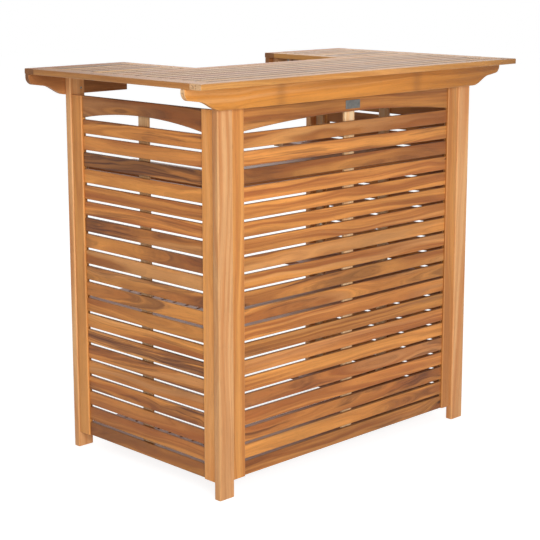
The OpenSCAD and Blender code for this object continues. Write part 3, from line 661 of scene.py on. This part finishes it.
# Cleats behind the panels
# Three paler, rough-planed uprights back each panel and carry its slats and the shelves. They
# are screwed to the rails and stiles from inside, and their edges are barely broken.
CLEAT_EDGE = 0.001
# The cleat wood is paler, and is made lighter still as painted light, for the light that reaches the
# cleats through the gaps
cleat_wood = wood("cleat_wood", paint(244, 196, 138), paint(254, 226, 180), roughness=0.58,
                  heart_share=0.0)
for side, seed in (("front", 81), ("left", 84), ("right", 87)):
    node = f"{side}_cleats"
    boards(node + "_boards", [node], solids_of(node), 2, CLEAT_EDGE, BOARD_END_EASE, cleat_wood,
           "cleat_wood", seed)

# Shelves
# Three U-shaped shelves stand on dowels in the cleats. Each has a frame of eight boards round
# slats that lie along the bar, all planed, eased and oiled like the panels.
FLAT_BOARD_EDGE = 0.0025
# The shelf wood is darker: partly its own reddish brown, partly painted shade of the bar's inside as
# seen through the gaps
shelf_wood = wood("shelf_wood", paint(142, 84, 46), paint(172, 108, 60), roughness=0.48,
                  heart_share=0.45)


def frame_boards(node, seed):
    """A U-shaped frame as two pieces: the boards that lie along the bar, and those across it."""
    boxes = solids_of(node)
    along_x = [(lo, hi) for lo, hi in boxes if (hi - lo)[0] > (hi - lo)[1]]
    along_y = [(lo, hi) for lo, hi in boxes if (hi - lo)[0] <= (hi - lo)[1]]
    boards(node + "_rails", [node], along_x, 0, FLAT_BOARD_EDGE, BOARD_END_EASE, shelf_wood,
           "shelf_wood", seed)
    boards(node + "_stiles", [node], along_y, 1, FLAT_BOARD_EDGE, BOARD_END_EASE, shelf_wood,
           "shelf_wood", seed + 1)


for level, seed in (("lower", 100), ("middle", 110), ("upper", 120)):
    frame_boards(f"{level}_shelf_frame", seed)
    for row, step in (("long", 2), ("left", 3), ("right", 4)):
        slats = f"{level}_shelf_{row}_slats"
        boards(slats + "_boards", [slats], without_tongues(solids_of(slats), 0), 0, FLAT_BOARD_EDGE,
               BOARD_END_EASE, shelf_wood, "shelf_wood", seed + step)

# Top
# The serving top is a U of boards in line with the shelves: rails along the front, middle and
# back, stiles at the ends and beside the notch, and slats between, dowelled and tongued.
RAIL_STATIONS = 50
# Places and half widths of painted shade along the bar, towards the front rail's right end where the
# light falls off
RAIL_END_SHADE = [(0.61, 0.09), (0.66, 0.30)]
LEFT_STILE_SHADES = {0: (-0.6, 1.0, 0.3)}
top_wood = wood("top_wood", paint(178, 120, 48), paint(216, 156, 68), roughness=0.48,
                heart_share=0.6, painted_gap_shade=2.4, ior=1.41)
top_rail_wood = wood("top_rail_wood", paint(202, 138, 66), paint(228, 166, 88), roughness=0.48,
                     heart_share=0.4, lines=0.7, ior=1.42)
top_back_wood = wood("top_back_wood", paint(186, 122, 66), paint(212, 150, 90), roughness=0.5,
                     heart_share=0.5, lines=0.7, ends=DARK_END_GRAIN, ior=1.38)


def darken_along_x(mesh, stains):
    """Gives the points a darkening value along x: the sum of exp(-(distance / half width)^2)."""
    x = np.empty(len(mesh.vertices) * 3)
    mesh.vertices.foreach_get("co", x)
    places, half_widths = np.array(stains).T
    away = (x[::3, None] - places) / half_widths
    layer = mesh.attributes.new("darkening", "FLOAT", "POINT")
    layer.data.foreach_set("value", np.exp(-away ** 2).sum(axis=1).astype(np.float32))


for node, seed, material in (("top_front_rail", 131, top_rail_wood),
                             ("top_middle_rail", 132, top_rail_wood),
                             ("top_left_back_rail", 133, top_back_wood),
                             ("top_right_back_rail", 134, top_back_wood)):
    boxes = solids_of(node)
    length = (boxes[0][1] - boxes[0][0])[0]
    piece = boards(node + "_board", [node], boxes, 0, FLAT_BOARD_EDGE, BOARD_END_EASE, material,
                   "top_wood", seed, inner=np.linspace(0, length, RAIL_STATIONS)[1:-1])
    if node == "top_front_rail":
        darken_along_x(piece.data, RAIL_END_SHADE)
for node, seed, shades in (("top_left_stile", 135, LEFT_STILE_SHADES), ("top_right_stile", 136, None),
                           ("top_left_inner_stile", 137, None), ("top_right_inner_stile", 138, None)):
    boards(node + "_board", [node], solids_of(node), 1, FLAT_BOARD_EDGE, BOARD_END_EASE, top_rail_wood,
           "top_wood", seed, shades=shades)
for node, seed in (("top_long_slats", 141), ("top_left_slats", 142), ("top_right_slats", 143)):
    boards(node + "_boards", [node], without_tongues(solids_of(node), 0), 0, FLAT_BOARD_EDGE,
           BOARD_END_EASE, top_wood, "top_wood", seed)

# Battens and blocks
# Two cross battens under the top hold its long slats in line, and small blocks in the corner
# between top and apron or bracket take one screw each way.
boards("top_battens_boards", ["top_battens"], solids_of("top_battens"), 1, CLEAT_EDGE,
       BOARD_END_EASE, cleat_wood, "cleat_wood", 151)
boards("top_blocks_boards", ["top_blocks"], solids_of("top_blocks"), 0, CLEAT_EDGE,
       BOARD_END_EASE, cleat_wood, "cleat_wood", 152)

# Apron and brackets
# The apron runs the whole front under the top and ends in a sawn scroll at each side, and two
# brackets of the same shape carry the wings at the back. They are screwed to the posts.
SCROLL_END = 0.008
NOSE_LENGTH = 0.018
NOSE_DEPTH = 0.029
NECK_LENGTH = 0.045
NECK_DEPTH = 0.033
SCROLL_LENGTH = 0.120
NOSE_STATIONS = 10
NECK_STATIONS = 14
STATION_STEP = 0.008
SQUARE_END = 0.02
APRON_EDGE = 0.002
# Places and half widths along the bar of two darker bands on the apron's face, and of painted shade
# towards its right end, where the light falls off
APRON_BANDS_AND_END_SHADE = [(-0.29, 0.018), (0.236, 0.018), (0.58, 0.22)]


def scroll_cut(length, depth, left, right):
    """Height of the sawn lower edge over the board's full depth, by distance from the end.

    Down from the top the scroll is a quarter ellipse, then a slope, then half a cosine wave:
    end + (nose - end) sqrt(1 - (1 - d/n)^2), a straight line, neck + (depth - neck)(1 - cos)/2.
    """
    def scroll(d):
        nose = SCROLL_END + (NOSE_DEPTH - SCROLL_END) * np.sqrt(
            1 - (1 - np.clip(d / NOSE_LENGTH, 0, 1)) ** 2)
        past_nose = (d - NOSE_LENGTH) / (NECK_LENGTH - NOSE_LENGTH)
        slope = NOSE_DEPTH + (NECK_DEPTH - NOSE_DEPTH) * past_nose
        past_neck = np.clip((d - NECK_LENGTH) / (SCROLL_LENGTH - NECK_LENGTH), 0, 1)
        drop = NECK_DEPTH + (depth - NECK_DEPTH) * (1 - np.cos(math.pi * past_neck)) / 2
        return np.where(d < NOSE_LENGTH, nose, np.where(d < NECK_LENGTH, slope, drop))

    def cut(s):
        deep = np.full_like(s, depth)
        if left:
            deep = np.minimum(deep, scroll(s))
        if right:
            deep = np.minimum(deep, scroll(length - s))
        return depth - deep
    return cut


def scroll_stations(length, left, right):
    """Places along the board, close together on the nose, where the edge turns fastest."""
    nose = NOSE_LENGTH * (1 - np.cos(np.linspace(0, math.pi / 2, NOSE_STATIONS)))[2:]
    neck = np.linspace(NECK_LENGTH, SCROLL_LENGTH, NECK_STATIONS)
    scroll = np.concatenate([nose, neck])
    lo = scroll if left else np.array([SQUARE_END])
    hi = length - scroll[::-1] if right else np.array([length - SQUARE_END])
    between = round((hi[0] - lo[-1]) / STATION_STEP)
    return np.concatenate([lo, np.linspace(lo[-1], hi[0], between)[1:-1], hi])


apron_wood = wood("apron_wood", paint(186, 118, 42), paint(210, 140, 58), roughness=0.42,
                  heart_share=0.25, lines=0.45)
# The bracket wood is darker: partly its own colour, partly painted shade under the top
bracket_wood = wood("bracket_wood", paint(162, 106, 60), paint(194, 134, 80), heart_share=0.6,
                    ends=DARK_END_GRAIN)
for node, left, right, seed, material in (("front_apron", True, True, 161, apron_wood),
                                          ("left_bracket", True, False, 162, bracket_wood),
                                          ("right_bracket", False, True, 163, bracket_wood)):
    boxes = solids_of(node)
    size = boxes[0][1] - boxes[0][0]
    piece = boards(node + "_board", [node], boxes, 0, APRON_EDGE, BOARD_END_EASE, material,
                   "frame_wood", seed, inner=scroll_stations(size[0], left, right),
                   cut=scroll_cut(size[0], size[2], left, right))
    if node == "front_apron":
        darken_along_x(piece.data, APRON_BANDS_AND_END_SHADE)

# Name plate and pins
# A bare plate of brushed metal sits on the middle of the front arched rail, held by two small
# round-headed pins. It is flat and plain, with its edge rolled over all round.
PLATE_CORNER = 0.0016
PLATE_BEVEL = 0.0005
BEVEL_STEPS = 4
PIN_HEAD = 0.0017
PIN_HEIGHT = 0.0007
PIN_STEPS = 24
PIN_RINGS = 7
PIN_SINK = 0.3
MARK_DEPTH = 0.28
TARNISH_COUNTS = (90.0, 90.0, 90.0)
TARNISH_RANGE = (0.35, 0.65)
TARNISH_SHADE = 0.8
RECESS_SHADE_DEPTH = 0.75
MARK_ROUGH = 0.25
TARNISH_ROUGH = 0.12


def brushed_metal(name, base, roughness, mark_counts):
    """Metal with fine brush marks: a noise with so many features a metre along x, y and z.

    It tilts the surface a little, and a coarser one tarnishes it in patches. Where the mesh
    has a recess_shade attribute, the colour falls to a quarter: painted shade in the recess.
    """
    made = bpy.data.materials.new(name)
    made.use_nodes = True
    tree = made.node_tree
    tree.nodes.clear()
    start = Wire(tree)
    place = start.node("ShaderNodeTexCoord", out="Object")
    marks = place.stretched(mark_counts).noise(detail=4.0, roughness=0.7)
    tarnish = place.stretched(TARNISH_COUNTS).noise(detail=3.0)
    tarnished = tuple(TARNISH_SHADE * v for v in base[:3]) + (1.0,)
    recess_shade = start.node("ShaderNodeAttribute", {"attribute_name": "recess_shade"}, out="Fac")
    colour = start.node("ShaderNodeMix", {"data_type": "RGBA"},
                        {0: tarnish.step(*TARNISH_RANGE), 6: base, 7: tarnished}, out=2)
    level = 1.0 - MARK_DEPTH / 2 + marks * MARK_DEPTH
    colour = colour.times(level * (1.0 - recess_shade * RECESS_SHADE_DEPTH))
    rough = roughness + (marks - 0.5) * MARK_ROUGH + (tarnish - 0.5) * TARNISH_ROUGH
    normal = start.node("ShaderNodeBump", inputs={
        "Height": marks, "Strength": 0.35, "Distance": 0.0001})
    shader = start.node("ShaderNodeBsdfPrincipled", inputs={
        "Base Color": colour, "Roughness": rough, "Normal": normal, "Metallic": 1.0})
    start.node("ShaderNodeOutputMaterial", inputs={"Surface": shader})
    return made


def plate_surface(lo, hi):
    """The plate: its outline carried from the wood to the face, and in over a rolled edge.

    Ring by ring the height is the thickness less the bevel times (1 - sin b), and the outline
    is drawn in by the bevel times (1 - cos b), with b running through a quarter turn.
    """
    size = hi - lo
    outline, normal, _ = rounded_outline(size[0], size[2], PLATE_CORNER)
    b = np.linspace(0, math.pi / 2, BEVEL_STEPS + 1)
    drawn_in = np.concatenate([[0], PLATE_BEVEL * (1 - np.cos(b))])
    height = np.concatenate([[0], size[1] - PLATE_BEVEL * (1 - np.sin(b))])
    tilt = np.concatenate([[0], b])
    middle = (lo + hi) / 2
    flat = outline[None] - drawn_in[:, None, None] * normal[None]
    face = np.broadcast_to(hi[1] - height[:, None], flat.shape[:2])
    points = np.stack([flat[..., 0] + middle[0], face, flat[..., 1] + middle[2]], -1)
    normals = np.stack([np.cos(tilt)[:, None] * normal[None, :, 0],
                        np.repeat(-np.sin(tilt)[:, None], len(normal), axis=1),
                        np.cos(tilt)[:, None] * normal[None, :, 1]], -1)
    return points.reshape(-1, 3), normals.reshape(-1, 3), ring_faces(*flat.shape[:2])


plate_metal = brushed_metal("plate_metal", paint(122, 120, 116), roughness=0.40,
                            mark_counts=(60.0, 900.0, 2600.0))
plate_points, plate_normals, plate_faces = plate_surface(*solids_of("name_plate")[0])
dress("name_plate_sheet", mesh_of("name_plate_sheet", plate_points, plate_normals, plate_faces, {}),
      plate_metal, ["name_plate"])


def pin_head(centre, radius, height):
    """A domed head that faces the front: rings at radius r cos t and height h sin t."""
    t = np.linspace(0, math.pi / 2, PIN_RINGS)[:-1]
    a = np.linspace(0, 2 * math.pi, PIN_STEPS, endpoint=False)
    reach = np.concatenate([[radius], radius * np.cos(t)])
    lift = np.concatenate([[-PIN_SINK * height], height * np.sin(t)])
    points = np.stack([centre[0] + reach[:, None] * np.cos(a), centre[1] - lift[:, None] + 0 * a,
                       centre[2] + reach[:, None] * np.sin(a)], -1).reshape(-1, 3)
    return points, ring_faces(len(reach), PIN_STEPS)


pin_points, pin_faces = [], []
for lo, hi in solids_of("plate_pins"):
    centre = np.array([(lo[0] + hi[0]) / 2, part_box("name_plate")[0].y, (lo[2] + hi[2]) / 2])
    points, faces = pin_head(centre, PIN_HEAD, PIN_HEIGHT)
    pin_faces += [[v + sum(map(len, pin_points)) for v in face] for face in faces]
    pin_points.append(points)
pin_mesh = bpy.data.meshes.new("plate_pins_heads")
pin_mesh.from_pydata(np.concatenate(pin_points).tolist(), [], pin_faces)
pin_mesh.polygons.foreach_set("use_smooth", np.ones(len(pin_mesh.polygons), bool))
dress("plate_pins_heads", pin_mesh, plate_metal, ["plate_pins"])

# Screws
# Zinc-plated countersunk screws with a cross recess hold the cleats, posts, apron, brackets and
# blocks. All are driven from inside the bar, and their heads stand a hair proud of the wood.
SCREW_HEAD_HEIGHT = 0.0024
SCREW_SHANK = 0.0018
SCREW_BEVEL = 0.0002
SCREW_PROUD = 0.0004
CROSS_DEPTH = 0.0003
CROSS_REACH = 0.0021
CROSS_HALF_WIDTH = 0.0005
CROSS_FLOOR = 0.6
SCREW_POINT = SCREW_SHANK / 8


def cross_ring(reach, half_width):
    """Twenty-four points round a plus sign: its twelve corners and the middles between them.

    A quarter holds the corners (reach, -w), (reach, w) and (w, w), and the others are that
    quarter turned by 90 degrees: (x, y) to (-y, x).
    """
    quarter = np.array([[reach, -half_width], [reach, half_width], [half_width, half_width]])
    turned = [quarter]
    for _ in range(3):
        turned.append(np.stack([-turned[-1][:, 1], turned[-1][:, 0]], 1))
    corners = np.concatenate(turned)
    middles = (corners + np.roll(corners, -1, axis=0)) / 2
    return np.stack([corners, middles], 1).reshape(-1, 2)


def screw_surface(lo, hi):
    """One screw as rings from the recess over the head and the cone to the shank's point.

    Its axis is the box's longest side, and its head is at the end nearer to the origin, which
    lies on the floor in the bar's middle.
    """
    size = hi - lo
    axis = int(np.argmax(size))
    across = [(axis + 1) % 3, (axis + 2) % 3]
    head = size[across].max() / 2
    inwards = 1.0 if abs(hi[axis]) < abs(lo[axis]) else -1.0
    top = (hi if inwards > 0 else lo)[axis] + inwards * SCREW_PROUD
    cross = cross_ring(CROSS_REACH, CROSS_HALF_WIDTH)
    angle = np.unwrap(np.arctan2(cross[:, 1], cross[:, 0]))
    circle = np.stack([np.cos(angle), np.sin(angle)], 1)
    rings = [cross * CROSS_FLOOR, cross, circle * (head - SCREW_BEVEL), circle * head,
             circle * SCREW_SHANK, circle * SCREW_SHANK, circle * SCREW_POINT]
    depth = [CROSS_DEPTH, 0.0, 0.0, SCREW_BEVEL, SCREW_HEAD_HEIGHT, size[axis] - SCREW_SHANK,
             size[axis]]
    points = np.empty((len(rings), len(cross), 3))
    middle = (lo + hi) / 2
    points[..., across[0]] = np.array(rings)[..., 0] + middle[across[0]]
    points[..., across[1]] = np.array(rings)[..., 1] + middle[across[1]]
    points[..., axis] = top - inwards * np.array(depth)[:, None]
    recess_shade = np.zeros(points.shape[:2])
    # The recess floor gets painted shade
    recess_shade[0] = 1.0
    faces = ring_faces(len(rings), len(cross))
    if inwards > 0:
        faces = [ring[::-1] for ring in faces]
    return points.reshape(-1, 3), recess_shade.ravel(), faces


screw_steel = brushed_metal("screw_steel", paint(206, 200, 186), roughness=0.34,
                            mark_counts=(700.0, 700.0, 700.0))
for node in ("cleat_screws", "post_screws", "top_screws"):
    points, recess_shade, faces = [], [], []
    for lo, hi in solids_of(node):
        screw_points, screw_recess_shade, screw_faces = screw_surface(lo, hi)
        faces += [[v + len(screw_points) * len(points) for v in ring] for ring in screw_faces]
        points.append(screw_points)
        recess_shade.append(screw_recess_shade)
    mesh = bpy.data.meshes.new(node + "_heads")
    mesh.from_pydata(np.concatenate(points).tolist(), [], faces)
    layer = mesh.attributes.new("recess_shade", "FLOAT", "POINT")
    layer.data.foreach_set("value", np.concatenate(recess_shade).astype(np.float32))
    dress(node + "_heads", mesh, screw_steel, [node])

# Dowels
# Fluted beech pegs hold the boards, posts and shelves together. They are glued in and hidden,
# so the solids stay as they are and only get a dry, pale wood.
dowel_wood = wood("dowel_wood", paint(214, 178, 128), paint(228, 198, 152), roughness=0.66,
                  heart_share=0.0, own_axes=False)
for node in ("frame_dowels", "panel_dowels", "rail_dowels", "shelf_dowels"):
    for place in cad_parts[node].material_slots:
        place.material = dowel_wood

# Floor, lamps and camera
# A pale studio floor and a white surround light the bar softly from all sides. One large lamp at
# the front left gives the boards their sheen, and a weaker one lights the back.
CAMERA_AT = (-2.8154, -2.8137, 1.3551)
YAW, PITCH, ROLL = math.radians(44.57), math.radians(-10.864), math.radians(-0.033)
LENS = 95.59
SENSOR_WIDTH = 36.0
SHIFT_Y = -0.07
WHITE = (1.0, 1.0, 1.0, 1.0)
FLOOR_PAINT = (0.84, 0.84, 0.84, 1.0)
FLOOR_REACH = 14.0
FLOOR_GLOW = 1.70
GLOW_SHARE = 0.5
AMBIENT = 0.36
LAMP_SIZE = 2.2

floor_mesh = bpy.data.meshes.new("floor")
floor_corners = FLOOR_REACH * np.array([[-1, -1, 0], [1, -1, 0], [1, 1, 0], [-1, 1, 0]])
floor_mesh.from_pydata(floor_corners.tolist(), [], [[0, 1, 2, 3]])
floor = bpy.data.objects.new("floor", floor_mesh)
bpy.context.scene.collection.objects.link(floor)

floor_paint = bpy.data.materials.new("floor_paint")
floor_paint.use_nodes = True
floor_paint.node_tree.nodes.clear()
start = Wire(floor_paint.node_tree)
seen = start.maths("MAXIMUM", start.node("ShaderNodeLightPath", out="Is Camera Ray"),
                   start.node("ShaderNodeLightPath", out="Is Glossy Ray"))
matt = start.node("ShaderNodeBsdfDiffuse", inputs={"Color": FLOOR_PAINT})
glow = start.node("ShaderNodeEmission", inputs={"Color": WHITE, "Strength": FLOOR_GLOW})
start.node("ShaderNodeOutputMaterial", inputs={
    "Surface": start.node("ShaderNodeMixShader", inputs={0: seen * GLOW_SHARE, 1: matt, 2: glow})})
floor_mesh.materials.append(floor_paint)

world = bpy.data.worlds.new("studio")
bpy.context.scene.world = world
world.use_nodes = True
world.node_tree.nodes.clear()
start = Wire(world.node_tree)
seen = start.maths("MAXIMUM", start.node("ShaderNodeLightPath", out="Is Camera Ray"),
                   start.maths("MAXIMUM", start.node("ShaderNodeLightPath", out="Is Glossy Ray"),
                               start.node("ShaderNodeLightPath", out="Is Transmission Ray")))
start.node("ShaderNodeOutputWorld", inputs={"Surface": start.node("ShaderNodeBackground", inputs={
    "Color": WHITE, "Strength": seen * (1.0 - AMBIENT) + AMBIENT})})


def lamp(name, place, target, power):
    """A square soft lamp that faces a point."""
    light = bpy.data.lights.new(name, "AREA")
    light.shape = "SQUARE"
    light.size = LAMP_SIZE
    light.energy = power
    lamp_object = bpy.data.objects.new(name, light)
    bpy.context.scene.collection.objects.link(lamp_object)
    aim = (Vector(target) - Vector(place)).to_track_quat("-Z", "Y")
    lamp_object.matrix_world = Matrix.Translation(place) @ aim.to_matrix().to_4x4()


lamp("key_lamp", place=(-2.3, -3.6, 1.62), target=(0.0, 0.0, 0.55), power=129.0)
lamp("fill_lamp", place=(2.8, 2.6, 2.6), target=(0.0, 0.0, 0.6), power=28.0)

camera = bpy.data.objects.new("camera", bpy.data.cameras.new("camera"))
bpy.context.scene.collection.objects.link(camera)
camera.data.lens = LENS
camera.data.sensor_width = SENSOR_WIDTH
camera.data.shift_y = SHIFT_Y
camera.matrix_world = (Matrix.Translation(CAMERA_AT) @ Matrix.Rotation(-YAW, 4, "Z")
                       @ Matrix.Rotation(math.pi / 2 + PITCH, 4, "X") @ Matrix.Rotation(ROLL, 4, "Z"))
bpy.context.scene.camera = camera
bpy.context.scene.view_settings.view_transform = "Standard"
